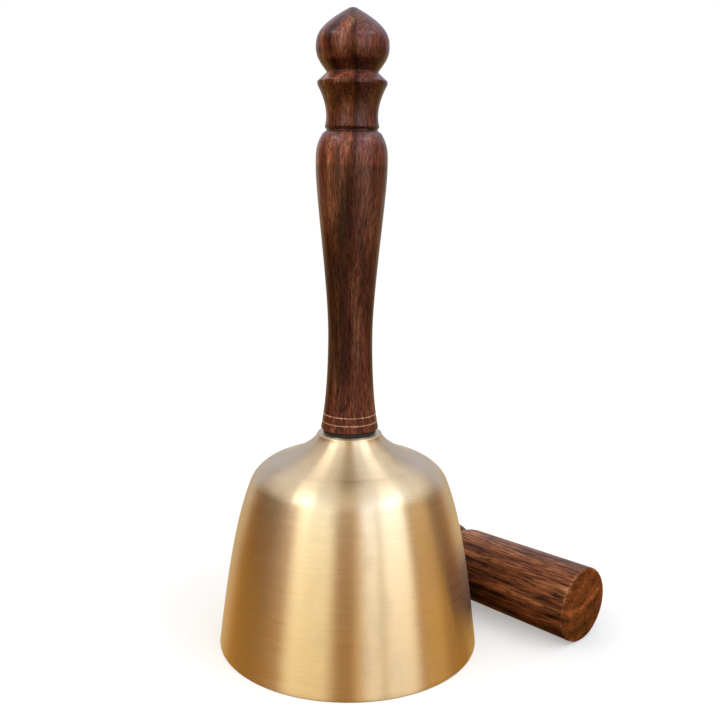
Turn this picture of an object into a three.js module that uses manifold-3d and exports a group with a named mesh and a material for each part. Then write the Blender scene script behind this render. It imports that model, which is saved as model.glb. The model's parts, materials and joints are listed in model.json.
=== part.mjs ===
// A hand bell: a turned brass bell on a turned hardwood handle, and the wooden striker that plays it.
// Millimetres, +Z up. The bell stands on its rim on the plane z = 0, and the striker lies behind it.
// Every round piece is described by its outline, a chain of (radius, height) points around its own axis.
import * as THREE from "three";
import { mergeVertices } from "three/addons/utils/BufferGeometryUtils.js";
import Module from "manifold-3d";

const wasm = await Module();
wasm.setup();

// ---- Driving dimensions ---------------------------------------------------------------------------

const GAP = 0.3; // air left between pieces that touch on the real object
const degrees = THREE.MathUtils.degToRad;

// A place that a turned outline passes through. The lean is the outline's slope there, in degrees
// from upright and positive where it widens upwards. The pulls say how long a curve keeps to that
// slope, below the place and above it.
function station(radius, height, lean = 0, below = 0, above = 0) {
  const slope = degrees(lean);
  const upwards = new THREE.Vector2(Math.sin(slope), Math.cos(slope));
  return { point: new THREE.Vector2(radius, height), upwards, below, above };
}

// The same station on a surface that lies deeper in the metal.
function deeper(place, depth, below, above) {
  const inwards = new THREE.Vector2(-place.upwards.y, place.upwards.x);
  const point = place.point.clone().addScaledVector(inwards, depth);
  return { ...place, point, below, above };
}

// Bell shell, outside from the rim up, then inside.
const WALL = 3;
const RIM = station(50, 0, -7, 0, 25.6);
const SHOULDER_START = station(37.37, 64.51, -22.3, 16, 4.53);
const SHOULDER_END = station(27.73, 72.32, -78.4, 2.52, 3.71);
const LIP = station(12.18, 82.6, -18.6, 4.23, 0);
const LIP_CHAMFER = 0.4;
const CROWN_HOLE_RADIUS = 4.6;
const SEAT = station(13.8, 73.4); // flat underside of the crown, which the washers press on
const INNER_SHOULDER_END = deeper(SHOULDER_END, WALL, 2.4, 0);
const INNER_SHOULDER_START = deeper(SHOULDER_START, WALL, 15.5, 4.1);
const INNER_RIM = station(RIM.point.x - WALL, 0, -7, 0, 25);

// Fixings on the bell's axis: M8 stud, nut and washers, and two equal rubber washers.
const STUD_RADIUS = 4;
const STUD_CHAMFER = 0.8;
const STUD_DEPTH_IN_HANDLE = 29.5;
const STUD_BELOW_NUT = 3;
const FIXING_HOLE_RADIUS = STUD_RADIUS + GAP;
const RUBBER_RADIUS = 9.9;
const RUBBER_THICKNESS = 1.2;
const STEEL_WASHER_RADIUS = 8;
const STEEL_WASHER_THICKNESS = 1.6;
const LOCK_WASHER_RADIUS = 7.2;
const LOCK_WASHER_THICKNESS = 2;
const LOCK_WASHER_HALF_OPENING = degrees(9);
const NUT_ACROSS_FLATS = 13;
const NUT_HEIGHT = 6.5;
const NUT_FACE_RADIUS = 6.15; // edge of the flat round face that the chamfer leaves
const NUT_CHAMFER_SLOPE = degrees(30);
const CUTTER_OVERHANG = 1.5; // how far the cones that chamfer the nut stand out past its corners

// Handle. Heights are above its own foot.
const FOOT_CHAMFER = 0.35;
const FOOT = station(10.8, FOOT_CHAMFER, -12, 0, 6.1);
const WAIST = station(8.22, 35.4, 0, 16.5, 18.5);
const GRIP_SWELL = station(12.94, 97.6, 0, 12.1, 3.3);
const GRIP_TOP = station(10.45, 108.4, -33, 4.9, 0);
const GROOVE = station(9, 109.4);
const COLLAR_FOOT = station(9.75, 110.6, -16, 0, 6.8);
const COLLAR_EDGE = station(12.43, 125.1, 27, 1.4, 0);
const COLLAR_TOP = station(12.43, 126.2); // end of the upright band at the collar's edge
const KNOB_NECK = station(9, 129.3, 37, 0, 3.9);
const KNOB_SWELL = station(12.95, 137.8, 0, 3.6, 4.3);
const KNOB_TIP = station(1.2, 151, -61, 11.9, 0);

// Striker. Heights are along its own axis, from the flat end of its head.
const HEAD_CHAMFER = 0.6;
const HEAD = station(14.87, HEAD_CHAMFER);
const HEAD_BACK = station(14.25, 57, 0, 0, 2.2);
const HEAD_GROOVE = station(11.4, 64, -53, 2, 0);
const BEAD_START = station(11.4, 64, 58, 0, 1.9);
const BEAD = station(14.25, 69, 0, 2, 2);
const BEAD_END = station(11.4, 74, -58, 1.9, 0);
const STRIKER_NECK = station(11.4, 74, -13, 0, 5.1);
const STRIKER_WAIST = station(8.6, 100, 0, 10, 14);
const STRIKER_SWELL = station(12.4, 139, 0, 11, 4);
const BUTT_GROOVE = station(9.4, 149, -45, 3.1, 0);
const BUTT_START = station(9.4, 149, 65, 0, 2.9);
const BUTT = station(HEAD.point.x, 158, 0, 3.6, 4.4);
const BUTT_END = station(0, 165, -90, 6, 0);
const STRIKER_TURN = degrees(135); // direction from head to butt, from +X in the table's plane
const HEAD_CENTRE = new THREE.Vector2(91.75, -2.95); // centre of the flat end, from the bell's axis

// Sides of the round pieces.
const SHELL_SIDES = 56;
const HANDLE_SIDES = 40;
const STRIKER_SIDES = 36;
const FIXING_SIDES = 32;

// ---- Outlines and solids --------------------------------------------------------------------------

// A smooth stretch of outline between two stations, as points from the lower one to the upper one.
function bend(lower, upper, steps) {
  const leave = lower.point.clone().addScaledVector(lower.upwards, lower.above);
  const arrive = upper.point.clone().addScaledVector(upper.upwards, -upper.below);
  return new THREE.CubicBezierCurve(lower.point, leave, arrive, upper.point).getPoints(steps);
}

// A turned outline, drawn point by point: x is the radius and y the height along the axis.
class Outline {
  constructor(radius, height) {
    this.points = [new THREE.Vector2(radius, height)];
  }

  line(radius, height) {
    this.points.push(new THREE.Vector2(radius, height));
    return this;
  }

  lineTo(place) {
    return this.line(place.point.x, place.point.y);
  }

  up(lower, upper, steps) {
    this.points.push(...bend(lower, upper, steps).slice(1));
    return this;
  }

  down(upper, lower, steps) {
    this.points.push(...bend(lower, upper, steps).reverse().slice(1));
    return this;
  }

  close() {
    this.points.push(this.points[0].clone());
    return this;
  }
}

// Spins an outline round the Z axis.
function turned(outline, sides) {
  return new THREE.LatheGeometry(outline.points, sides).rotateX(Math.PI / 2);
}

// A flat ring round the stud, with its top at the given height.
function washer(outerRadius, top, thickness) {
  const outline = new Outline(FIXING_HOLE_RADIUS, top - thickness)
    .line(outerRadius, top - thickness)
    .line(outerRadius, top)
    .line(FIXING_HOLE_RADIUS, top)
    .close();
  return turned(outline, FIXING_SIDES);
}

// A flat shape, given its thickness upwards from the bottom height.
function slab(shape, bottom, depth) {
  const options = { depth, bevelEnabled: false, curveSegments: FIXING_SIDES / 2 };
  return new THREE.ExtrudeGeometry(shape, options).translate(0, 0, bottom);
}

// A geometry as a solid that can be cut, with the vertices its faces share merged.
function solidOf(geometry) {
  const bare = geometry.clone();
  bare.deleteAttribute("normal");
  bare.deleteAttribute("uv");
  const merged = mergeVertices(bare, 1e-4);
  const vertProperties = new Float32Array(merged.attributes.position.array);
  const triVerts = new Uint32Array(merged.index.array);
  return new wasm.Manifold(new wasm.Mesh({ numProp: 3, vertProperties, triVerts }));
}

function geometryOf(solid) {
  const { vertProperties, triVerts } = solid.getMesh();
  const geometry = new THREE.BufferGeometry();
  geometry.setAttribute("position", new THREE.BufferAttribute(vertProperties, 3));
  geometry.setIndex(new THREE.BufferAttribute(triVerts, 1));
  geometry.computeVertexNormals();
  return geometry;
}

// ---- Materials ------------------------------------------------------------------------------------

function finish(color, roughness, metalness) {
  return new THREE.MeshStandardMaterial({ color, roughness, metalness });
}

const BRASS = finish(0xd3b06a, 0.32, 1);
const HANDLE_WOOD = finish(0x5f3220, 0.42, 0);
const STRIKER_WOOD = finish(0x6b3a22, 0.5, 0);
const RUBBER = finish(0x17151a, 0.7, 0);
const STEEL = finish(0xb4b7ba, 0.35, 1);

// ---- Heights on the bell's axis -------------------------------------------------------------------

// The handle stands on a rubber washer, which stands on the neck's flat top.
const neckTop = LIP.point.y + LIP_CHAMFER;
const crownWasherTop = neckTop + GAP + RUBBER_THICKNESS;
const handleFoot = crownWasherTop + GAP;

// The fixings hang below the crown, worked out downwards from its flat seat.
const innerWasherTop = SEAT.point.y - GAP;
const steelWasherTop = innerWasherTop - RUBBER_THICKNESS - GAP;
const lockWasherTop = steelWasherTop - STEEL_WASHER_THICKNESS - GAP;
const nutTop = lockWasherTop - LOCK_WASHER_THICKNESS - GAP;
const studBottom = nutTop - NUT_HEIGHT - STUD_BELOW_NUT;
const studTop = handleFoot + STUD_DEPTH_IN_HANDLE;

// ---- Pieces ---------------------------------------------------------------------------------------

function bellShell() {
  const holeBottom = station(CROWN_HOLE_RADIUS, SEAT.point.y);
  const outline = new Outline(RIM.point.x, RIM.point.y)
    .up(RIM, SHOULDER_START, 10)
    .up(SHOULDER_START, SHOULDER_END, 8)
    .up(SHOULDER_END, LIP, 9)
    .line(LIP.point.x - LIP_CHAMFER, neckTop)
    .line(CROWN_HOLE_RADIUS, neckTop)
    .lineTo(holeBottom)
    .lineTo(SEAT)
    .lineTo(INNER_SHOULDER_END)
    .down(INNER_SHOULDER_END, INNER_SHOULDER_START, 6)
    .down(INNER_SHOULDER_START, INNER_RIM, 8)
    .close();
  return turned(outline, SHELL_SIDES);
}

// One turning: grip, groove, flared collar and onion-shaped knob, with a blind hole for the stud.
function handle() {
  const holeDepth = STUD_DEPTH_IN_HANDLE + GAP;
  const outline = new Outline(0, holeDepth)
    .line(FIXING_HOLE_RADIUS, holeDepth)
    .line(FIXING_HOLE_RADIUS, 0)
    .line(FOOT.point.x - FOOT_CHAMFER, 0)
    .lineTo(FOOT)
    .up(FOOT, WAIST, 7)
    .up(WAIST, GRIP_SWELL, 12)
    .up(GRIP_SWELL, GRIP_TOP, 5)
    .lineTo(GROOVE)
    .lineTo(COLLAR_FOOT)
    .up(COLLAR_FOOT, COLLAR_EDGE, 7)
    .lineTo(COLLAR_TOP)
    .lineTo(KNOB_NECK)
    .up(KNOB_NECK, KNOB_SWELL, 5)
    .up(KNOB_SWELL, KNOB_TIP, 7)
    .line(0, KNOB_TIP.point.y);
  return turned(outline, HANDLE_SIDES).translate(0, 0, handleFoot);
}

// A threaded rod glued into the handle, drawn at its thread's outer diameter.
function handleStud() {
  const outline = new Outline(0, studBottom)
    .line(STUD_RADIUS - STUD_CHAMFER, studBottom)
    .line(STUD_RADIUS, studBottom + STUD_CHAMFER)
    .line(STUD_RADIUS, studTop - STUD_CHAMFER)
    .line(STUD_RADIUS - STUD_CHAMFER, studTop)
    .line(0, studTop);
  return turned(outline, FIXING_SIDES);
}

// A spring washer: a ring cut open, so that its two ends stand apart.
function lockWasher() {
  const from = LOCK_WASHER_HALF_OPENING;
  const to = 2 * Math.PI - LOCK_WASHER_HALF_OPENING;
  const shape = new THREE.Shape();
  shape.absarc(0, 0, LOCK_WASHER_RADIUS, from, to, false);
  shape.absarc(0, 0, FIXING_HOLE_RADIUS, to, from, true);
  return slab(shape, lockWasherTop - LOCK_WASHER_THICKNESS, LOCK_WASHER_THICKNESS);
}

// A hexagonal prism with a hole, cut by a double cone that takes off its corners.
function hexNut() {
  const bottom = nutTop - NUT_HEIGHT;
  const cornerRadius = NUT_ACROSS_FLATS / Math.sqrt(3);
  const cornerDrop = (cornerRadius - NUT_FACE_RADIUS) * Math.tan(NUT_CHAMFER_SLOPE);
  const centre = new THREE.Vector2();
  const corners = [];
  for (let corner = 0; corner < 6; corner += 1) {
    const turn = (corner * Math.PI) / 3;
    corners.push(new THREE.Vector2(cornerRadius, 0).rotateAround(centre, turn));
  }
  const hexagon = new THREE.Shape(corners);
  hexagon.holes.push(new THREE.Path().absarc(0, 0, FIXING_HOLE_RADIUS, 0, 2 * Math.PI, true));
  const cones = new Outline(0, bottom)
    .line(NUT_FACE_RADIUS, bottom)
    .line(cornerRadius, bottom + cornerDrop)
    .line(cornerRadius + CUTTER_OVERHANG, bottom + NUT_HEIGHT / 2)
    .line(cornerRadius, nutTop - cornerDrop)
    .line(NUT_FACE_RADIUS, nutTop)
    .line(0, nutTop);
  const prism = solidOf(slab(hexagon, bottom, NUT_HEIGHT));
  return geometryOf(prism.intersect(solidOf(turned(cones, FIXING_SIDES))));
}

// One turning: a plain head with a flat end, a groove, a bead, a waisted grip and a domed butt.
function striker() {
  const outline = new Outline(0, 0)
    .line(HEAD.point.x - HEAD_CHAMFER, 0)
    .lineTo(HEAD)
    .lineTo(HEAD_BACK)
    .up(HEAD_BACK, HEAD_GROOVE, 4)
    .up(BEAD_START, BEAD, 4)
    .up(BEAD, BEAD_END, 4)
    .up(STRIKER_NECK, STRIKER_WAIST, 5)
    .up(STRIKER_WAIST, STRIKER_SWELL, 7)
    .up(STRIKER_SWELL, BUTT_GROOVE, 4)
    .up(BUTT_START, BUTT, 4)
    .up(BUTT, BUTT_END, 6);
  return turned(outline, STRIKER_SIDES);
}

// ---- Assembly -------------------------------------------------------------------------------------

function piece(name, geometry, material) {
  const mesh = new THREE.Mesh(geometry, material);
  mesh.name = name;
  return mesh;
}

const bell = new THREE.Group();
bell.add(
  piece("bell_shell", bellShell(), BRASS),
  piece("crown_washer", washer(RUBBER_RADIUS, crownWasherTop, RUBBER_THICKNESS), RUBBER),
  piece("handle", handle(), HANDLE_WOOD),
  piece("handle_stud", handleStud(), STEEL),
  piece("inner_washer", washer(RUBBER_RADIUS, innerWasherTop, RUBBER_THICKNESS), RUBBER),
  piece("flat_washer", washer(STEEL_WASHER_RADIUS, steelWasherTop, STEEL_WASHER_THICKNESS), STEEL),
  piece("lock_washer", lockWasher(), STEEL),
  piece("hex_nut", hexNut(), STEEL),
);

// The striker lies on its head and its butt, which are equally thick, so its axis is level.
const lyingStriker = new THREE.Group();
const strikerMesh = piece("striker", striker(), STRIKER_WOOD);
strikerMesh.rotation.y = Math.PI / 2;
lyingStriker.add(strikerMesh);
lyingStriker.rotation.z = STRIKER_TURN;
lyingStriker.position.set(HEAD_CENTRE.x, HEAD_CENTRE.y, HEAD.point.x);

// The origin is the middle of the set's footprint on the table.
const handBellSet = new THREE.Group();
handBellSet.add(bell, lyingStriker);
const middle = new THREE.Box3().setFromObject(handBellSet, true).getCenter(new THREE.Vector3());
for (const member of handBellSet.children) {
  member.position.x -= middle.x;
  member.position.y -= middle.y;
}

export default handBellSet;
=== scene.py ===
"""A brass hand bell on a turned wooden handle, with its turned wooden striker: the looks.

Outlines of turned pieces are in millimetres, measured on each piece's own axis from its own foot,
as a turner would. Everything else is in metres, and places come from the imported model.
"""

import json
import math
from collections import namedtuple

import bpy
from mathutils import Matrix, Vector


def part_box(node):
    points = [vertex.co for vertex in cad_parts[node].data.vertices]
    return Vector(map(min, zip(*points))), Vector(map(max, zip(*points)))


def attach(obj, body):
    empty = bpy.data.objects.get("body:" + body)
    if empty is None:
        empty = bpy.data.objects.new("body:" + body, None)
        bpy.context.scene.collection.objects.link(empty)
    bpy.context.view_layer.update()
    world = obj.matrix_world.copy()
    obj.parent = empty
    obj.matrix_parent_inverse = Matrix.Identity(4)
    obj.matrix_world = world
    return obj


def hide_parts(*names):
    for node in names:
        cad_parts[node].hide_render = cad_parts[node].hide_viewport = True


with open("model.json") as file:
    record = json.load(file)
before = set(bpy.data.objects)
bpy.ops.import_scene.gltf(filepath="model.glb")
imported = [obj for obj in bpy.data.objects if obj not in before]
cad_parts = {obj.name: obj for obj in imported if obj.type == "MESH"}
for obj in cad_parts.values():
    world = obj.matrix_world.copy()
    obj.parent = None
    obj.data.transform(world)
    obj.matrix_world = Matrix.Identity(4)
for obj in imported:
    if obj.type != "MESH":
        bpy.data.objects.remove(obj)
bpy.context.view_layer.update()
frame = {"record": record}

MM = 0.001
TAU = 2 * math.pi
UP = Vector((0, 0, 1))


# ---- Places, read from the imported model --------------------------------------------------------

def foot_of(node):
    """The lowest point on a node's vertical axis."""
    low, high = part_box(node)
    return Vector(((low[0] + high[0]) / 2, (low[1] + high[1]) / 2, low[2]))


def height_of(node):
    """How tall a node is, in millimetres."""
    low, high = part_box(node)
    return (high[2] - low[2]) / MM


def mount(name):
    """A mount's point and direction."""
    entry = next(m for m in frame["record"]["mounts"] if m["name"] == name)
    return Vector(entry["pos_m"]), Vector(entry["axis"])


# ---- Outlines of turned pieces -----------------------------------------------------------------

# The longest straight run that a mesh keeps in one piece.
LONGEST_RUN = 2

# A place that an outline passes through. The lean is its slope there, in degrees from upright and
# positive where it widens upwards. The pulls say how long a curve keeps to that slope, below the
# place and above it.
Station = namedtuple("Station", "radius height lean below above", defaults=(0, 0, 0))


def deeper(station, depth, below, above):
    """The same station on a surface that lies deeper in the material."""
    slope = math.radians(station.lean)
    radius = station.radius - depth * math.cos(slope)
    height = station.height + depth * math.sin(slope)
    return Station(radius, height, station.lean, below, above)


def bend(lower, upper, steps):
    """The smooth stretch from one station up to another, without its first point."""
    def pulled(station, length):
        slope = math.radians(station.lean)
        return Vector((station.radius + length * math.sin(slope), station.height + length * math.cos(slope)))

    start, leave = pulled(lower, 0), pulled(lower, lower.above)
    arrive, end = pulled(upper, -upper.below), pulled(upper, 0)
    points = []
    for step in range(1, steps + 1):
        t = step / steps
        s = 1 - t
        points.append(tuple(s**3 * start + 3 * s * s * t * leave + 3 * s * t * t * arrive + t**3 * end))
    return points


def rounded(before, corner, after, radius, steps=6):
    """The arc that rounds the corner between two straight runs."""
    before, corner, after = (Vector(place[:2]) for place in (before, corner, after))
    into = (corner - before).normalized()
    out = (after - corner).normalized()
    turn = math.atan2(into.x * out.y - into.y * out.x, into.dot(out))
    start = corner - into * radius * math.tan(abs(turn) / 2)
    centre = start + Vector((-into.y, into.x)) * math.copysign(radius, turn)
    arm = start - centre
    return [tuple(centre + Matrix.Rotation(turn * step / steps, 2) @ arm) for step in range(steps + 1)]


def scribed(outline, height, width, depth):
    """The outline with a fine line cut into it at one height, all the way round the piece."""
    low, high = height - width / 2, height + width / 2
    above = next(i for i, point in enumerate(outline) if point[1] > height)
    (r0, h0), (r1, h1) = outline[above - 1], outline[above]
    radius = r0 + (r1 - r0) * (height - h0) / (h1 - h0)
    floor_of_cut = [(radius - depth, height - width / 5), (radius - depth, height + width / 5)]
    cut = [(radius, low), *floor_of_cut, (radius, high)]
    return [p for p in outline[:above] if p[1] < low] + cut + [p for p in outline[above:] if p[1] > high]


def divided(outline):
    """The same outline, with its long straight runs cut into shorter ones."""
    chain = [outline[0]]
    for point in outline[1:]:
        last, run = Vector(chain[-1]), Vector(point) - Vector(chain[-1])
        pieces = max(1, math.ceil(run.length / LONGEST_RUN))
        chain.extend(tuple(last + run * (i / pieces)) for i in range(1, pieces + 1))
    return chain


# ---- Meshes ------------------------------------------------------------------------------------

SHARPEST_SMOOTH_TURN = math.radians(38)


def around(radius, height, angle):
    """The place at a radius and height in millimetres, some way round Z."""
    return radius * MM * math.cos(angle), radius * MM * math.sin(angle), height * MM


def turned(name, outline, sides, closed=False):
    """Spins an outline round Z. A closed outline makes a ring; an open one runs from axis to axis.

    The UV map "outline" holds the share of a turn, and the length along the outline in metres.
    """
    lengths = [0.0]
    ends = outline[1:] + outline[:1] if closed else outline[1:]
    for a, b in zip(outline, ends):
        lengths.append(lengths[-1] + math.dist(a, b) * MM)
    vertices, rings = [], []
    for radius, height in outline:
        count = 1 if radius < 1e-6 else sides
        rings.append(range(len(vertices), len(vertices) + count))
        for i in range(count):
            angle = TAU * i / sides
            vertices.append(around(radius, height, angle))
    if closed:
        rings.append(rings[0])
    faces, uvs = [], []
    for row, (low, high) in enumerate(zip(rings, rings[1:])):
        for i in range(sides):
            corners = [(low, i, row), (low, i + 1, row), (high, i + 1, row + 1), (high, i, row + 1)]
            if len(high) == 1:
                del corners[2]
            if len(low) == 1:
                del corners[1]
            faces.append([ring[side % len(ring)] for ring, side, _ in corners])
            uvs.extend((side / sides, lengths[at]) for _, side, at in corners)
    return made(name, vertices, faces, uvs)


def made(name, vertices, faces, uvs):
    """An object with a new mesh, smooth except at its real edges."""
    mesh = bpy.data.meshes.new(name)
    mesh.from_pydata(vertices, [], faces)
    layer = mesh.uv_layers.new(name="outline")
    layer.data.foreach_set("uv", [number for uv in uvs for number in uv])
    mesh.shade_smooth()
    mesh.set_sharp_from_angle(angle=SHARPEST_SMOOTH_TURN)
    piece = bpy.data.objects.new(name, mesh)
    bpy.context.scene.collection.objects.link(piece)
    return piece


def swept_ring(name, section, start, stop, steps):
    """A section of (radius, height) points swept part of the way round Z, closed at both ends."""
    vertices, faces, uvs = [], [], []
    count = len(section)
    for step in range(steps + 1):
        angle = start + (stop - start) * step / steps
        vertices += [around(radius, height, angle) for radius, height in section]
    for step in range(steps):
        base, ahead = step * count, (step + 1) * count
        for i in range(count):
            j = (i + 1) % count
            faces.append([base + i, ahead + i, ahead + j, base + j])
            here, next_one = step / steps, (step + 1) / steps
            uvs += [(here, i), (next_one, i), (next_one, i + 1), (here, i + 1)]
    faces.append(list(range(count)))
    faces.append(list(range(steps * count, (steps + 1) * count))[::-1])
    uvs += [(0, 0)] * (2 * count)
    return made(name, vertices, faces, uvs)


# ---- Shader graphs -----------------------------------------------------------------------------

class Graph:
    """A node tree, with short ways to add nodes and join them."""

    def __init__(self, tree):
        self.tree = tree
        tree.nodes.clear()

    def add(self, kind, inputs=None, **settings):
        """Adds a node. Each input is a plain value, or another node's socket to link."""
        node = self.tree.nodes.new(kind)
        for key, value in settings.items():
            setattr(node, key, value)
        for key, value in (inputs or {}).items():
            self.feed(node.inputs[key], value)
        return node

    def feed(self, socket, value):
        if isinstance(value, bpy.types.NodeSocket):
            self.tree.links.new(value, socket)
        elif socket.type == "RGBA":
            socket.default_value = (*value[:3], 1)
        else:
            socket.default_value = value

    def math(self, operation, *values):
        return self.add("ShaderNodeMath", dict(enumerate(values)), operation=operation).outputs[0]

    def times(self, a, b):
        return self.math("MULTIPLY", a, b)

    def plus(self, a, b):
        return self.math("ADD", a, b)

    def minus(self, a, b):
        return self.math("SUBTRACT", a, b)

    def line(self, value, slope, start):
        """start, plus slope times the value."""
        return self.math("MULTIPLY_ADD", value, slope, start)

    def vector(self, operation, *values):
        return self.add("ShaderNodeVectorMath", dict(enumerate(values)), operation=operation).outputs[0]

    def distance(self, a, b):
        return self.add("ShaderNodeVectorMath", {0: a, 1: b}, operation="DISTANCE").outputs["Value"]

    def ramp(self, value, low, high, start=0.0, end=1.0):
        """A smooth step from start, where the value is at low, to end, where it is at high."""
        inputs = {"Value": value, "From Min": low, "From Max": high, "To Min": start, "To Max": end}
        return self.add("ShaderNodeMapRange", inputs, interpolation_type="SMOOTHSTEP").outputs[0]

    def near(self, value, reach, softness):
        """1 where the value is within reach of zero, and 0 further off."""
        return self.ramp(self.math("ABSOLUTE", value), reach - softness, reach + softness, 1.0, 0.0)

    def mix(self, share, a, b, blend="MIX"):
        """Mixes two colours."""
        node = self.add("ShaderNodeMix", data_type="RGBA", blend_type=blend)
        self.feed(node.inputs[0], share)
        self.feed(node.inputs[6], a)
        self.feed(node.inputs[7], b)
        return node.outputs[2]

    def shaded(self, colour, shade):
        """A colour made lighter or darker by a factor."""
        return self.mix(1.0, colour, self.combine(shade, shade, shade), "MULTIPLY")

    def noise(self, place, detail=2.0, roughness=0.5):
        inputs = {"Vector": place, "Scale": 1.0, "Detail": detail, "Roughness": roughness}
        return self.add("ShaderNodeTexNoise", inputs).outputs[0]

    def stretched(self, place, *scales):
        return self.vector("MULTIPLY", place, scales)

    def combine(self, x, y, z):
        return self.add("ShaderNodeCombineXYZ", {0: x, 1: y, 2: z}).outputs[0]

    def split(self, vector):
        return self.add("ShaderNodeSeparateXYZ", {0: vector}).outputs

    def own_place(self):
        """The place on the piece, from its own origin, in metres."""
        return self.add("ShaderNodeTexCoord").outputs["Object"]

    def bump(self, height, distance):
        return self.add("ShaderNodeBump", {"Height": height, "Distance": distance}).outputs[0]


def material(name, build):
    """A material whose surface is the shader that build adds to its graph."""
    new = bpy.data.materials.new(name)
    new.use_nodes = True
    graph = Graph(new.node_tree)
    surface = build(graph).outputs[0]
    graph.add("ShaderNodeOutputMaterial", {"Surface": surface})
    return new


# ---- Materials ---------------------------------------------------------------------------------

# Two pale lines scribed round the handle, at heights above its foot.
SCRIBED_HEIGHTS = (3.0, 5.9)
SCRIBED_WIDTH = 0.45
SCRIBED_DEPTH = 0.12
SCRIBED_COLOUR = (0.62, 0.32, 0.20)

BRASS = (0.90, 0.67, 0.39)
TARNISH = (0.66, 0.47, 0.26)
PIT = (0.22, 0.14, 0.07)
BRUSHING_DEPTH = 0.000008
PIT_DEPTH = 4.0  # as a multiple of the brushing's
NECK_DULLNESS = 0.08


def brushed_brass(graph):
    """Satin brass, duller on its neck. Its fine marks run round the axis and blur what it mirrors."""
    place = graph.own_place()
    x, y, z = graph.split(place)
    length = graph.split(graph.add("ShaderNodeUVMap", uv_map="outline").outputs[0])[1]

    def marks(round_scale, along_scale, detail):
        """Marks that change slowly round the axis and quickly along the outline, with no seam."""
        across = (graph.times(x, round_scale), graph.times(y, round_scale))
        marked_place = graph.combine(*across, graph.times(length, along_scale))
        return graph.noise(marked_place, detail, 0.6)

    fine = marks(90, 6000, 3)
    coarse = marks(35, 900, 3)
    tarnish = graph.ramp(graph.noise(graph.stretched(place, 55, 55, 30), 5, 0.65), 0.45, 0.75)
    specks = graph.add("ShaderNodeTexVoronoi", {"Vector": place, "Scale": 210.0})
    inside_speck = graph.ramp(specks.outputs["Distance"], 0.02, 0.05, 1.0, 0.0)
    pits = graph.times(inside_speck, graph.ramp(graph.split(specks.outputs["Color"])[0], 0.72, 0.76))
    fine_shade = graph.ramp(fine, 0.3, 0.7, 0.95, 1.04)
    shade = graph.times(fine_shade, graph.ramp(coarse, 0.3, 0.7, 0.98, 1.02))
    colour = graph.mix(graph.times(tarnish, 0.35), graph.shaded(BRASS, shade), TARNISH)
    height = graph.minus(graph.plus(fine, coarse), graph.times(pits, PIT_DEPTH))
    roughness = graph.ramp(coarse, 0.3, 0.7, 0.27, 0.31)
    roughness = graph.plus(roughness, graph.times(tarnish, 0.05))
    roughness = graph.plus(roughness, graph.ramp(z, 0.066, 0.076, 0.0, NECK_DULLNESS))
    return graph.add("ShaderNodeBsdfPrincipled", {
        "Base Color": graph.mix(graph.times(pits, 0.6), colour, PIT),
        "Metallic": 1.0,
        "Roughness": roughness,
        "Anisotropic": 1.0,
        "Anisotropic Rotation": 0.25,
        "Tangent": graph.add("ShaderNodeTangent", direction_type="RADIAL", axis="Z").outputs[0],
        "Normal": graph.bump(height, BRUSHING_DEPTH),
    })


# What tells one turned hardwood from another. Lengths are in metres, and pith is where the tree's
# centre lies from the piece's own axis.
Wood = namedtuple("Wood", "pale middle dark pith ring pore_width pore_length pore_shade fleck_shade")
GRAIN_WANDER = 0.008
GRAIN_DEPTH = 0.00006
WOOD_SPECULAR = 0.10
WOOD_SPECULAR_TINT = (1.0, 0.52, 0.36)
LACQUER_ROUGHNESS = 0.21

HANDLE_WOOD = Wood(
    pale=(0.29, 0.116, 0.056), middle=(0.150, 0.040, 0.018), dark=(0.036, 0.008, 0.005),
    pith=(-0.030, 0.024), ring=0.0030,
    pore_width=0.00040, pore_length=0.0036, pore_shade=0.42, fleck_shade=1.25,
)
RED_LAYER = (0.084, 0.025, 0.018)

# Painted shade and painted light on the handle's turned shapes. The darkening bands paint shade in the
# groove, under the collar's edge and under the knob.
# The lightening bands paint light on the grip's shoulder, the collar's bevel and the knob's top, where they
# face up; on the bevel they are also its paler end grain.
# Heights above its foot and reaches are in millimetres.
Band = namedtuple("Band", "height reach shade")
HANDLE_PAINTED_SHADE_AND_LIGHT = (
    Band(109.6, 1.0, 0.45), Band(121.5, 3.5, 0.75), Band(131.0, 2.2, 0.50),
    Band(103.0, 5.5, 1.65), Band(127.8, 1.4, 1.90), Band(142.0, 5.0, 1.50),
)
BAND_SOFTNESS = 0.8

STRIKER_WOOD = Wood(
    pale=(0.38, 0.140, 0.047), middle=(0.160, 0.047, 0.016), dark=(0.020, 0.0055, 0.0028),
    pith=(0.004, 0.022), ring=0.0040,
    pore_width=0.00045, pore_length=0.0070, pore_shade=0.24, fleck_shade=1.45,
)
END_GRAIN_TINT = (1.15, 0.84, 0.70)


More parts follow.
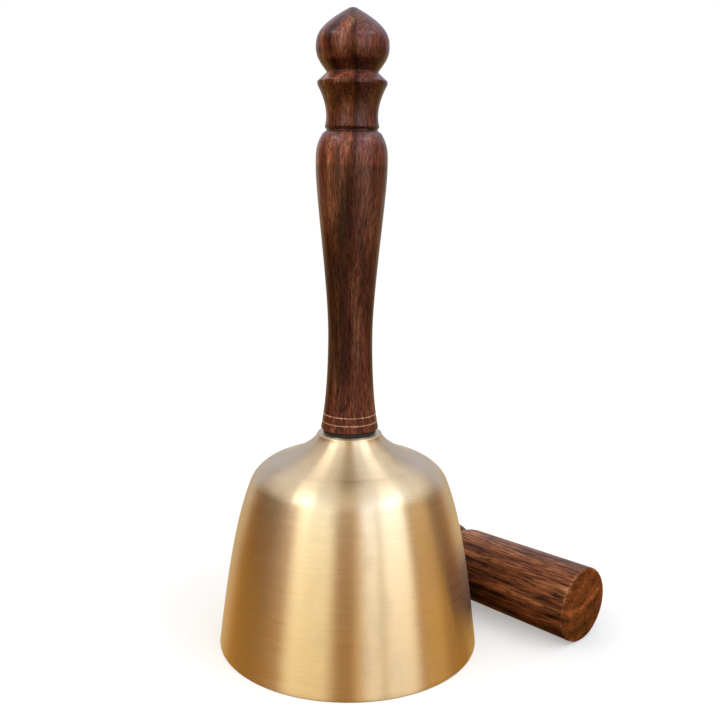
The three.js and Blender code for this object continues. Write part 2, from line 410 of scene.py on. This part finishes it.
def hardwood(wood, dress, gloss):
    """A shader builder for hardwood with its grain along Z.

    dress adds the figure that only this piece has, and gloss says how thick its lacquer is.
    """
    def build(graph):
        place = graph.own_place()
        x, y, z = graph.split(place)
        wander = graph.minus(graph.noise(graph.stretched(place, 70, 70, 22), 3), 0.5)
        across = graph.combine(graph.line(wander, GRAIN_WANDER, x), y, 0.0)
        from_pith = graph.distance(across, (*wood.pith, 0))
        ring_number = graph.math("DIVIDE", from_pith, wood.ring)
        ring_place = graph.combine(ring_number, 0.0, graph.times(z, 12))
        rings = graph.noise(ring_place, 2, 0.5)
        patches = graph.noise(graph.stretched(place, 170, 170, 30), 3, 0.6)
        lightness = graph.plus(graph.times(rings, 0.5), graph.times(patches, 0.5))
        fibres = graph.noise(graph.stretched(place, 1000, 1000, 40), 4, 0.7)
        pore_scales = (1 / wood.pore_width, 1 / wood.pore_width, 1 / wood.pore_length)
        dashes = graph.noise(graph.stretched(place, *pore_scales), 2, 0.6)
        pores = graph.ramp(dashes, 0.40, 0.46, 1.0, 0.0)
        tone = graph.mix(graph.ramp(lightness, 0.36, 0.50), wood.dark, wood.middle)
        tone = graph.mix(graph.ramp(lightness, 0.48, 0.66), tone, wood.pale)
        tone = graph.shaded(dress(graph, wood, tone, wander), graph.ramp(fibres, 0.3, 0.7, 0.55, 1.45))
        tone = graph.shaded(tone, graph.ramp(dashes, 0.52, 0.60, 0.95, wood.fleck_shade))
        tone = graph.shaded(tone, graph.line(pores, wood.pore_shade - 1, 1.0))
        height = graph.minus(graph.times(fibres, 0.5), pores)
        return graph.add("ShaderNodeBsdfPrincipled", {
            "Base Color": tone,
            "Roughness": graph.ramp(fibres, 0.3, 0.7, 0.25, 0.33),
            "Specular IOR Level": WOOD_SPECULAR,
            "Specular Tint": WOOD_SPECULAR_TINT,
            "Coat Weight": gloss(graph),
            "Coat Roughness": LACQUER_ROUGHNESS,
            "Normal": graph.bump(height, GRAIN_DEPTH),
        })
    return build


def handle_figure(graph, wood, tone, wander):
    """A dark heartwood layer, thin in the knob and broad low on the grip, bands of painted shade and painted
    light, and the two scribed lines.
    """
    x, _, z = graph.split(graph.own_place())
    low = graph.ramp(z, 0.052, 0.108, 1.0, 0.0)
    foot = graph.ramp(z, 0.008, 0.026, 1.0, 0.0)
    tone = graph.shaded(tone, graph.line(graph.minus(low, foot), -0.27, 1.0))
    middle = graph.line(low, -0.0062, 0.0006)
    half_width = graph.line(low, 0.0038, 0.0009)
    off = graph.math("ABSOLUTE", graph.minus(graph.line(wander, GRAIN_WANDER, x), middle))
    strength = graph.times(graph.line(low, -0.02, 0.58), graph.minus(1.0, foot))
    off_share = graph.math("DIVIDE", off, half_width)
    streak = graph.times(graph.ramp(off_share, 0.3, 1.7, 1.0, 0.0), strength)
    right_side = graph.ramp(graph.minus(x, middle), -0.001, 0.002)
    red_share = graph.line(low, -0.30, 0.70)
    tone = graph.mix(graph.times(right_side, red_share), tone, RED_LAYER)
    tone = graph.shaded(tone, graph.minus(1.0, streak))
    # Painted shade in the recesses and under the knob and collar, and painted light on faces that look up.
    for band in HANDLE_PAINTED_SHADE_AND_LIGHT:
        off_band = graph.minus(z, band.height * MM)
        share = graph.near(off_band, band.reach * MM, BAND_SOFTNESS * MM)
        tone = graph.shaded(tone, graph.line(share, band.shade - 1, 1.0))
    for height in SCRIBED_HEIGHTS:
        off_line = graph.minus(z, height * MM)
        share = graph.near(off_line, 0.45 * SCRIBED_WIDTH * MM, 0.0001)
        tone = graph.mix(share, tone, SCRIBED_COLOUR)
    return tone


def handle_gloss(graph):
    """Lacquer that is worn thin where the grip is held."""
    return graph.ramp(graph.split(graph.own_place())[2], 0.050, 0.100, 0.08, 0.36)


def striker_figure(graph, wood, tone, wander):
    """Painted shade on its lower side, redder end grain, and paler wood on the end's worn edge."""
    x, y, z = graph.split(graph.own_place())
    from_axis = graph.distance(graph.combine(x, y, 0.0), (0, 0, 0))
    rim = graph.ramp(from_axis, 0.0138, 0.0144)
    edge = graph.times(rim, graph.ramp(z, 0.0006, 0.0011, 1.0, 0.0))
    wear = graph.ramp(graph.noise(graph.stretched(graph.own_place(), 160, 160, 160), 2), 0.45, 0.60, 0.1, 0.9)
    # Painted shade: the striker's lower side is darker, with a wandering edge.
    painted_underside_shade = graph.ramp(graph.line(wander, 0.012, y), -0.011, 0.001, 0.45, 1.0)
    tone = graph.shaded(tone, painted_underside_shade)
    end_grain = graph.ramp(z, 0.0001, 0.0003, 1.0, 0.0)
    tone = graph.mix(end_grain, tone, graph.mix(1.0, tone, END_GRAIN_TINT, "MULTIPLY"))
    return graph.mix(graph.times(edge, wear), tone, wood.pale)


def striker_gloss(graph):
    """A little wax all over."""
    return 0.12


def plain(colour, roughness, metallic=0.0):
    """A shader builder for a part with an even finish and a faint grit."""
    def build(graph):
        grit = graph.noise(graph.stretched(graph.own_place(), 2500, 2500, 2500), 3)
        return graph.add("ShaderNodeBsdfPrincipled", {
            "Base Color": graph.shaded(colour, graph.ramp(grit, 0.3, 0.7, 0.85, 1.1)),
            "Roughness": graph.ramp(grit, 0.3, 0.7, roughness - 0.06, roughness + 0.06),
            "Metallic": metallic,
            "Normal": graph.bump(grit, 0.00001),
        })
    return build


RUBBER = (0.012, 0.011, 0.013)
STEEL = (0.62, 0.63, 0.64)

BRASS_FINISH = material("brushed_brass", brushed_brass)
HANDLE_FINISH = material("handle_hardwood", hardwood(HANDLE_WOOD, handle_figure, handle_gloss))
STRIKER_FINISH = material("striker_hardwood", hardwood(STRIKER_WOOD, striker_figure, striker_gloss))
RUBBER_FINISH = material("black_rubber", plain(RUBBER, 0.6))
STEEL_FINISH = material("zinc_plated_steel", plain(STEEL, 0.32, metallic=1.0))


# ---- Bell shell --------------------------------------------------------------------------------

WALL = 3
RIM = Station(50, 0, -7, 0, 25.6)
SHOULDER_START = Station(37.37, 64.51, -22.3, 16, 4.53)
SHOULDER_END = Station(27.73, 72.32, -78.4, 2.52, 3.71)
LIP = Station(12.18, 82.6, -18.6, 4.23, 0)
NECK_TOP = 83
CROWN_HOLE = 4.6
SEAT = (13.8, 73.4)
INNER_SHOULDER_END = deeper(SHOULDER_END, WALL, 2.4, 0)
INNER_SHOULDER_START = deeper(SHOULDER_START, WALL, 15.5, 4.1)
INNER_RIM = Station(RIM.radius - WALL, 0, -7, 0, 25)
RIM_ROUNDING = 0.45
SHELL_SIDES = 192


def bell_shell():
    outside = bend(RIM, SHOULDER_START, 40) + bend(SHOULDER_START, SHOULDER_END, 24)
    neck = bend(SHOULDER_END, LIP, 30)
    lip = rounded(neck[-2], (LIP.radius, NECK_TOP), (CROWN_HOLE, NECK_TOP), 0.6)
    hole = [(CROWN_HOLE, NECK_TOP), (CROWN_HOLE, SEAT[1])]
    shoulder = bend(INNER_SHOULDER_START, INNER_SHOULDER_END, 16)[::-1]
    wall = bend(INNER_RIM, INNER_SHOULDER_START, 24)[::-1]
    inner_edge = rounded(wall[-1], INNER_RIM, RIM, RIM_ROUNDING)
    outer_edge = rounded(INNER_RIM, RIM, outside[0], RIM_ROUNDING)
    outline = outside + neck[:-1] + lip + hole + [SEAT] + shoulder + wall + inner_edge + outer_edge
    shell = turned("bell_shell_brass", divided(outline), SHELL_SIDES, closed=True)
    shell.location = foot_of("bell_shell")
    return shell


# ---- Handle ------------------------------------------------------------------------------------

FOOT_CHAMFER = 0.35
FOOT = Station(10.8, FOOT_CHAMFER, -12, 0, 6.1)
WAIST = Station(8.22, 35.4, 0, 16.5, 18.5)
GRIP_SWELL = Station(12.94, 97.6, 0, 12.1, 3.3)
GRIP_TOP = Station(10.45, 108.4, -33, 4.9, 0)
GROOVE = Station(9, 109.4)
COLLAR_FOOT = Station(9.75, 110.6, -16, 0, 6.8)
COLLAR_EDGE = Station(12.43, 125.1, 27, 1.4, 0)
COLLAR_TOP = Station(12.43, 126.2)
KNOB_NECK = Station(9, 129.3, 37, 0, 3.9)
KNOB_SWELL = Station(12.95, 137.8, 0, 3.6, 4.3)
KNOB_TIP = Station(1.2, 151, -61, 11.9, 0)
STUD_HOLE = 4.3
STUD_HOLE_DEPTH = 29.8
WOOD_SIDES = 128


def handle():
    stud_hole = [(0, STUD_HOLE_DEPTH), (STUD_HOLE, STUD_HOLE_DEPTH), (STUD_HOLE, 0)]
    foot = stud_hole + [(FOOT.radius - FOOT_CHAMFER, 0)]
    grip = [FOOT[:2]] + bend(FOOT, WAIST, 24) + bend(WAIST, GRIP_SWELL, 40) + bend(GRIP_SWELL, GRIP_TOP, 16)
    for height in SCRIBED_HEIGHTS:
        grip = scribed(grip, height, SCRIBED_WIDTH, SCRIBED_DEPTH)
    flare = bend(COLLAR_FOOT, COLLAR_EDGE, 20)
    groove = rounded(grip[-1], GROOVE, COLLAR_FOOT, 0.4) + rounded(GROOVE, COLLAR_FOOT, flare[0], 0.3)
    edge = rounded(flare[-2], COLLAR_EDGE, COLLAR_TOP, 0.5) + rounded(COLLAR_EDGE, COLLAR_TOP, KNOB_NECK, 0.3)
    knob = bend(KNOB_NECK, KNOB_SWELL, 16) + bend(KNOB_SWELL, KNOB_TIP, 30)
    neck = rounded(COLLAR_TOP, KNOB_NECK, knob[0], 0.5)
    tip = rounded(knob[-2], KNOB_TIP, (0, KNOB_TIP.height), 0.7) + [(0, KNOB_TIP.height)]
    outline = foot + grip + groove + flare[:-1] + edge + neck + knob[:-1] + tip
    wood = turned("handle_wood", divided(outline), WOOD_SIDES)
    wood.location = foot_of("handle")
    return wood


# ---- Striker -----------------------------------------------------------------------------------

HEAD_CHAMFER = 0.6
HEAD = Station(14.87, HEAD_CHAMFER)
HEAD_BACK = Station(14.25, 57, 0, 0, 2.2)
HEAD_GROOVE = Station(11.4, 64, -53, 2, 0)
BEAD_START = Station(11.4, 64, 58, 0, 1.9)
BEAD = Station(14.25, 69, 0, 2, 2)
BEAD_END = Station(11.4, 74, -58, 1.9, 0)
STRIKER_NECK = Station(11.4, 74, -13, 0, 5.1)
STRIKER_WAIST = Station(8.6, 100, 0, 10, 14)
STRIKER_SWELL = Station(12.4, 139, 0, 11, 4)
BUTT_GROOVE = Station(9.4, 149, -45, 3.1, 0)
BUTT_START = Station(9.4, 149, 65, 0, 2.9)
BUTT = Station(HEAD.radius, 158, 0, 3.6, 4.4)
BUTT_END = Station(0, 165, -90, 6, 0)


def striker():
    """The striker lies on its side: its own Z axis runs from the head's flat end to the butt."""
    face = (HEAD.radius - HEAD_CHAMFER, 0)
    head = [(0, 0)] + rounded((0, 0), face, HEAD, 0.3) + rounded(face, HEAD, HEAD_BACK, 0.4)
    body = [HEAD_BACK[:2]] + bend(HEAD_BACK, HEAD_GROOVE, 14)
    bead = bend(BEAD_START, BEAD, 12) + bend(BEAD, BEAD_END, 12)
    grip = bend(STRIKER_NECK, STRIKER_WAIST, 20) + bend(STRIKER_WAIST, STRIKER_SWELL, 24)
    butt = bend(STRIKER_SWELL, BUTT_GROOVE, 14) + bend(BUTT_START, BUTT, 14) + bend(BUTT, BUTT_END, 24)
    wood = turned("striker_wood", divided(head + body + bead + grip + butt), WOOD_SIDES)
    face_centre, outwards = mount("striker_end")
    along = -outwards
    turn = Matrix((UP.cross(along), UP, along)).transposed()
    wood.matrix_world = Matrix.Translation(face_centre) @ turn.to_4x4()
    return wood


# ---- Washers, stud and nut ---------------------------------------------------------------------

FIXING_HOLE = 4.3
WASHER_SIDES = 96
RUBBER_RADIUS = 9.9
RUBBER_ROUNDING = 0.25
STEEL_WASHER_RADIUS = 8
STEEL_ROUNDING = 0.15
LOCK_WASHER_RADIUS = 7.2
LOCK_WASHER_HALF_OPENING = math.radians(9)
NUT_ACROSS_FLATS = 13
NUT_FACE_RADIUS = 6.15
NUT_CHAMFER_SLOPE = math.radians(30)
NUT_SINK = 0.4
STUD_RADIUS = 4
STUD_CHAMFER = 0.8
THREAD_PITCH = 1.25
THREAD_DEPTH = 0.68
THREAD_STEEPNESS = 2.6


def ring_section(outer, height, rounding):
    """The section of a flat ring with rounded edges, from its inner foot outwards."""
    corners = [(FIXING_HOLE, 0), (outer, 0), (outer, height), (FIXING_HOLE, height)]
    section = []
    for i, corner in enumerate(corners):
        section += rounded(corners[i - 1], corner, corners[(i + 1) % 4], rounding, 4)
    return section


def washer(node, outer, rounding):
    section = ring_section(outer, height_of(node), rounding)
    ring = turned(node + "_ring", section, WASHER_SIDES, closed=True)
    ring.location = foot_of(node)
    return ring


def lock_washer():
    section = ring_section(LOCK_WASHER_RADIUS, height_of("lock_washer"), STEEL_ROUNDING)
    start, stop = LOCK_WASHER_HALF_OPENING, TAU - LOCK_WASHER_HALF_OPENING
    ring = swept_ring("lock_washer_ring", section, start, stop, WASHER_SIDES)
    ring.location = foot_of("hex_nut")
    ring.location.z = foot_of("lock_washer").z
    return ring


def hex_nut():
    """A hexagon whose corners are cut by a cone above and below, with a countersunk hole."""
    height = height_of("hex_nut")
    sides = 120
    vertices, faces, uvs = [], [], []
    for i in range(sides):
        angle = TAU * i / sides
        edge = NUT_ACROSS_FLATS / 2 / math.cos(angle % (TAU / 6) - TAU / 12)
        drop = max(0.0, edge - NUT_FACE_RADIUS) * math.tan(NUT_CHAMFER_SLOPE)
        outside = [(NUT_FACE_RADIUS, 0), (edge, drop), (edge, height - drop), (NUT_FACE_RADIUS, height)]
        sinks = [(FIXING_HOLE + NUT_SINK, height), (FIXING_HOLE, height - NUT_SINK), (FIXING_HOLE, NUT_SINK)]
        section = [(FIXING_HOLE + NUT_SINK, 0), *outside, *sinks]
        vertices += [around(radius, level, angle) for radius, level in section]
    count = len(section)
    for i in range(sides):
        j = (i + 1) % sides
        for k in range(count):
            m = (k + 1) % count
            faces.append([i * count + k, j * count + k, j * count + m, i * count + m])
            uvs += [(i / sides, k), ((i + 1) / sides, k), ((i + 1) / sides, k + 1), (i / sides, k + 1)]
    nut = made("hex_nut_steel", vertices, faces, uvs)
    nut.location = foot_of("hex_nut")
    return nut


def threaded_stud():
    """A rod with a real thread: each point's radius follows its place on the helix."""
    height = height_of("handle_stud")
    sides, rows_per_turn = 48, 8
    rows = round(height / THREAD_PITCH * rows_per_turn)
    vertices, faces, uvs = [(0, 0, 0)], [], []
    for row in range(rows + 1):
        level = height * row / rows
        chamfer = max(0.0, STUD_CHAMFER - min(level, height - level))
        for i in range(sides):
            angle = TAU * i / sides
            phase = (level / THREAD_PITCH - i / sides) % 1
            valley = THREAD_DEPTH * max(0.0, 1 - abs(phase - 0.5) * THREAD_STEEPNESS)
            vertices.append(around(min(STUD_RADIUS - chamfer, STUD_RADIUS - valley), level, angle))
    vertices.append((0, 0, height * MM))

    def at(row, i):
        return 1 + row * sides + i % sides

    for i in range(sides):
        faces.append([0, at(0, i + 1), at(0, i)])
        faces.append([len(vertices) - 1, at(rows, i), at(rows, i + 1)])
        uvs += [(0, 0)] * 6
    for row in range(rows):
        for i in range(sides):
            faces.append([at(row, i), at(row, i + 1), at(row + 1, i + 1), at(row + 1, i)])
            uvs += [(i / sides, row / rows)] * 4
    stud = made("threaded_stud", vertices, faces, uvs)
    stud.location = foot_of("handle_stud")
    return stud


# ---- Studio ------------------------------------------------------------------------------------

# Part of the studio, seen from the bell: azimuth 0 is towards the camera, and positive on the
# picture's right. Azimuth, reach and softness are in degrees. Its bottom and top are sines of
# elevation, and it fades out there and at its sides.
Panel = namedtuple("Panel", "azimuth reach softness bottom top colour")

SURROUND = (0.23, 0.11, 0.04)
CEILING = (0.72, 0.70, 0.68)
ALL_THE_WAY_DOWN = -1.2
PANEL_FADE = 0.15
PANELS = (
    Panel(180, 50, 14, ALL_THE_WAY_DOWN, 0.60, (0.52, 0.62, 0.92)),
    Panel(180, 70, 20, 0.52, 0.80, (0.95, 1.02, 1.20)),
    Panel(-98, 22, 14, ALL_THE_WAY_DOWN, 0.42, (0.06, 0.02, 0.01)),
    Panel(84, 16, 8, ALL_THE_WAY_DOWN, 0.42, (0.54, 0.42, 0.26)),
    Panel(108, 12, 8, ALL_THE_WAY_DOWN, 0.30, (0.10, 0.06, 0.03)),
    Panel(-68, 28, 14, 0.56, 0.93, (1.22, 1.48, 1.90)),
    Panel(75, 46, 14, 0.62, 0.93, (1.22, 1.50, 2.00)),
    Panel(11, 5, 2, ALL_THE_WAY_DOWN, 0.50, (0.72, 0.62, 0.55)),
    Panel(-35, 21, 8, ALL_THE_WAY_DOWN, 0.78, (1.24, 1.44, 1.72)),
    Panel(39, 25, 6, ALL_THE_WAY_DOWN, 0.78, (1.34, 1.62, 2.38)),
    Panel(32, 3, 2, ALL_THE_WAY_DOWN, 0.45, (0.90, 1.06, 1.25)),
)
LOW_TINT = (1.06, 0.88, 0.42)
LOW_LIGHT = (0.78, 0.42, 0.05)
UNDER_THE_TABLE = (0.03, 0.015, 0.008)


def studio():
    """Soft panels all round the bell, a pale ceiling, and warm light from low down."""
    world = bpy.data.worlds.new("studio")
    world.use_nodes = True
    world.cycles.sampling_method = "NONE"
    graph = Graph(world.node_tree)
    x, y, z = graph.split(graph.add("ShaderNodeTexCoord").outputs["Generated"])
    azimuth = graph.times(graph.math("ARCTAN2", x, graph.times(y, -1)), 360 / TAU)
    colour = graph.mix(graph.ramp(z, 0.05, 0.55), SURROUND, CEILING)
    for panel in PANELS:
        turn = graph.math("WRAP", graph.minus(azimuth, panel.azimuth), -180, 180)
        above_foot = graph.ramp(z, panel.bottom - PANEL_FADE, panel.bottom + PANEL_FADE)
        below_top = graph.ramp(z, panel.top - PANEL_FADE, panel.top + PANEL_FADE, 1.0, 0.0)
        share = graph.times(graph.near(turn, panel.reach, panel.softness), below_top)
        colour = graph.mix(graph.times(share, above_foot), colour, panel.colour)
    low = graph.ramp(z, -0.35, 0.55, 1.0, 0.0)
    colour = graph.mix(low, colour, graph.mix(1.0, colour, LOW_TINT, "MULTIPLY"))
    colour = graph.mix(graph.ramp(z, -0.70, 0.15, 1.0, 0.0), colour, LOW_LIGHT)
    colour = graph.mix(graph.ramp(z, -0.72, -0.36, 1.0, 0.0), colour, UNDER_THE_TABLE)
    seen = graph.add("ShaderNodeLightPath").outputs["Is Camera Ray"]
    background = graph.add("ShaderNodeBackground", {"Color": graph.mix(seen, colour, (1, 1, 1))})
    graph.add("ShaderNodeOutputWorld", {"Surface": background.outputs[0]})
    bpy.context.scene.world = world


# Each lamp's azimuth in degrees, and its power in watts.
SPOTS = {-68: 1.8, 65: 1.5}
AIM_ABOVE_RIM = 0.15
SPOT_ELEVATION = 45
SPOT_DISTANCE = 1.2
SPOT_WIDTH = 0.55
SPOT_HEIGHT = 0.06


def spots():
    """Two bright strip lamps high up, one on each side, for the highlights on the knob and the neck."""
    aim = foot_of("bell_shell") + Vector((0, 0, AIM_ABOVE_RIM))
    for azimuth, power in SPOTS.items():
        data = bpy.data.lights.new("spot", "AREA")
        data.shape = "RECTANGLE"
        data.size = SPOT_WIDTH
        data.size_y = SPOT_HEIGHT
        data.energy = power
        lamp = bpy.data.objects.new("spot", data)
        turn = Matrix.Rotation(math.radians(azimuth), 4, "Z")
        turn = turn @ Matrix.Rotation(math.radians(90 - SPOT_ELEVATION), 4, "X")
        away = Matrix.Translation(Vector((0, 0, SPOT_DISTANCE)))
        lamp.matrix_world = Matrix.Translation(aim) @ turn @ away
        bpy.context.scene.collection.objects.link(lamp)


FLOOR_RADIUS = 1.2
FLOOR_SIDES = 64
PAPER = (0.74, 0.69, 0.60)
PAPER_GLOW = 0.34


def pale_floor(graph):
    """Pale paper that fades into the white behind it, and shows from above only."""
    away = graph.distance(graph.own_place(), (0, 0, 0))
    fade = graph.ramp(away, 0.25 * FLOOR_RADIUS, FLOOR_RADIUS)
    from_below = graph.add("ShaderNodeNewGeometry").outputs["Backfacing"]
    paper = graph.add("ShaderNodeBsdfPrincipled", {
        "Base Color": PAPER,
        "Roughness": 1.0,
        "Specular IOR Level": 0.0,
        "Emission Color": (1, 1, 1),
        "Emission Strength": PAPER_GLOW,
    })
    clear = graph.add("ShaderNodeBsdfTransparent")
    share = graph.math("MAXIMUM", fade, from_below)
    return graph.add("ShaderNodeMixShader", {0: share, 1: paper.outputs[0], 2: clear.outputs[0]})


def floor():
    """The floor shows in the picture only, so the brass mirrors the studio and not a white sheet."""
    corners = [Vector((FLOOR_RADIUS, 0, 0)) for _ in range(FLOOR_SIDES)]
    for i, corner in enumerate(corners):
        corner.rotate(Matrix.Rotation(TAU * i / FLOOR_SIDES, 3, "Z"))
    sheet = made("floor", corners, [list(range(FLOOR_SIDES))], [(0, 0)] * FLOOR_SIDES)
    sheet.visible_diffuse = False
    sheet.visible_glossy = False
    sheet.visible_shadow = False
    sheet.data.materials.append(material("floor_paper", pale_floor))


CAMERA_FROM_BELL = Vector((0.0037, -0.35296, 0.18184))
CAMERA_PITCH = math.radians(11.376)
CAMERA_ROLL = math.radians(0.6)
SENSOR_WIDTH = 36
LENS = 48.23


def camera():
    """In front of the bell, looking a little down on it."""
    data = bpy.data.cameras.new("camera")
    data.sensor_width = SENSOR_WIDTH
    data.lens = LENS
    eye = bpy.data.objects.new("camera", data)
    turn = Matrix.Rotation(TAU / 4 - CAMERA_PITCH, 4, "X") @ Matrix.Rotation(CAMERA_ROLL, 4, "Z")
    eye.matrix_world = Matrix.Translation(foot_of("bell_shell") + CAMERA_FROM_BELL) @ turn
    bpy.context.scene.collection.objects.link(eye)
    bpy.context.scene.camera = eye


# ---- Assembly ----------------------------------------------------------------------------------

def install(piece, body, node, finish):
    """Gives a piece its finish, and lets it stand for a CAD node and move with its body."""
    piece.data.materials.append(finish)
    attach(piece, body)
    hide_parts(node)


install(bell_shell(), "bell", "bell_shell", BRASS_FINISH)
install(handle(), "bell", "handle", HANDLE_FINISH)
for name in ("crown_washer", "inner_washer"):
    install(washer(name, RUBBER_RADIUS, RUBBER_ROUNDING), "bell", name, RUBBER_FINISH)
flat_washer = washer("flat_washer", STEEL_WASHER_RADIUS, STEEL_ROUNDING)
install(flat_washer, "bell", "flat_washer", STEEL_FINISH)
install(lock_washer(), "bell", "lock_washer", STEEL_FINISH)
install(hex_nut(), "bell", "hex_nut", STEEL_FINISH)
install(threaded_stud(), "bell", "handle_stud", STEEL_FINISH)
install(striker(), "striker", "striker", STRIKER_FINISH)

studio()
spots()
floor()
camera()
bpy.context.scene.view_settings.view_transform = "Standard"
